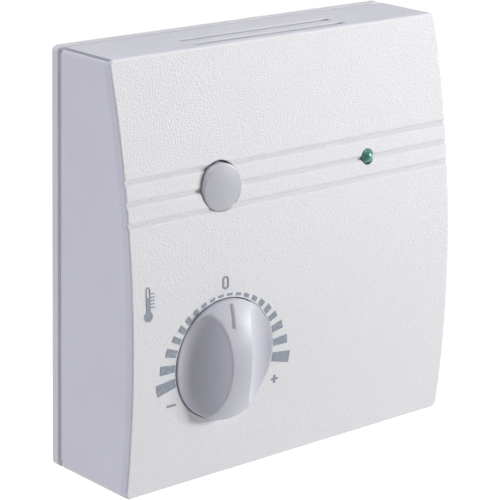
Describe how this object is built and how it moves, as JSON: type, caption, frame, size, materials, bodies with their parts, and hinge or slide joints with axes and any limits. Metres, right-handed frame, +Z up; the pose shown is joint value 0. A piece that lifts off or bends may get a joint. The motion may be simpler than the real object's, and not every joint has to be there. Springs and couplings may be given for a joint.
{
  "type": "wall thermostat",
  "caption": "Square wall thermostat with a curved front, a setpoint knob on a printed scale, a push button, a status light and a snap-off cover.",
  "frame": {"origin": "centre of the back face, midway between the two wall screws, in the plane of the wall", "axes": "+X right as seen from the front, +Y into the wall, so the front looks along -Y, and +Z up"},
  "size_m": [0.0844, 0.0305, 0.0844],
  "materials": {
    "base_plastic": "moulded white ABS, fine satin",
    "cover_plastic": "moulded white ABS, fine stipple on the front, satin sides",
    "scale_ink": "pad-printed blue-grey ink",
    "board_laminate": "green solder mask on glass laminate",
    "plated_steel": "zinc plated",
    "tinned_metal": "bright tin",
    "shaft_metal": "turned",
    "terminal_plastic": "moulded polyamide",
    "contact_brass": "stamped",
    "black_plastic": "moulded",
    "phenolic": "pressed laminate",
    "carbon_track": "printed carbon",
    "plunger_plastic": "moulded",
    "green_lens": "tinted clear epoxy, diffused",
    "sensor_epoxy": "dipped epoxy",
    "chip_epoxy": "moulded epoxy",
    "chip_ceramic": "fired ceramic",
    "capacitor_sleeve": "shrink sleeve and aluminium top",
    "relay_plastic": "moulded",
    "knob_plastic": "light grey satin-gloss ABS"
  },
  "bodies": {
    "base": {"base_plate": "base_plastic", "terminal_board": "board_laminate", "terminal_board_screws": "plated_steel", "terminal_block": "terminal_plastic", "terminal_screws": "plated_steel", "terminal_clamps": "contact_brass", "socket_strip": "black_plastic"},
    "front": {"front_cover": "cover_plastic", "scale_print": "scale_ink", "circuit_board": "board_laminate", "board_screws": "plated_steel", "pin_header": "black_plastic", "header_pins": "contact_brass", "pot_housing": "plated_steel", "pot_wafer": "phenolic", "pot_track": "carbon_track", "pot_terminals": "tinned_metal", "switch_body": "black_plastic", "switch_dome": "shaft_metal", "status_led": "green_lens", "led_leads": "tinned_metal", "led_spacer": "black_plastic", "temperature_sensor": "sensor_epoxy", "sensor_leads": "tinned_metal", "microcontroller": "chip_epoxy", "microcontroller_pins": "tinned_metal", "smoothing_capacitors": "capacitor_sleeve", "relay": "relay_plastic", "voltage_regulator": "chip_epoxy", "chip_resistors": "chip_epoxy", "chip_capacitors": "chip_ceramic"},
    "knob": {"setpoint_knob": "knob_plastic", "pot_shaft": "shaft_metal", "pot_wiper": "contact_brass"},
    "button": {"button_cap": "knob_plastic", "switch_plunger": "plunger_plastic"}
  },
  "joints": [
    {"name": "cover_pull", "type": "slide", "parent": "base", "child": "front", "axis": [0, -1, 0], "range_m": [0, 0.03]},
    {"name": "knob_turn", "type": "hinge", "parent": "front", "child": "knob", "pos_m": [-0.0194, 0, -0.0178], "axis": [0, 1, 0], "range_deg": [-105, 105]},
    {"name": "button_press", "type": "slide", "parent": "front", "child": "button", "axis": [0, 1, 0], "range_m": [0, 0.0006], "stiffness_N_per_m": 400, "springref_m": -0.001}
  ]
}
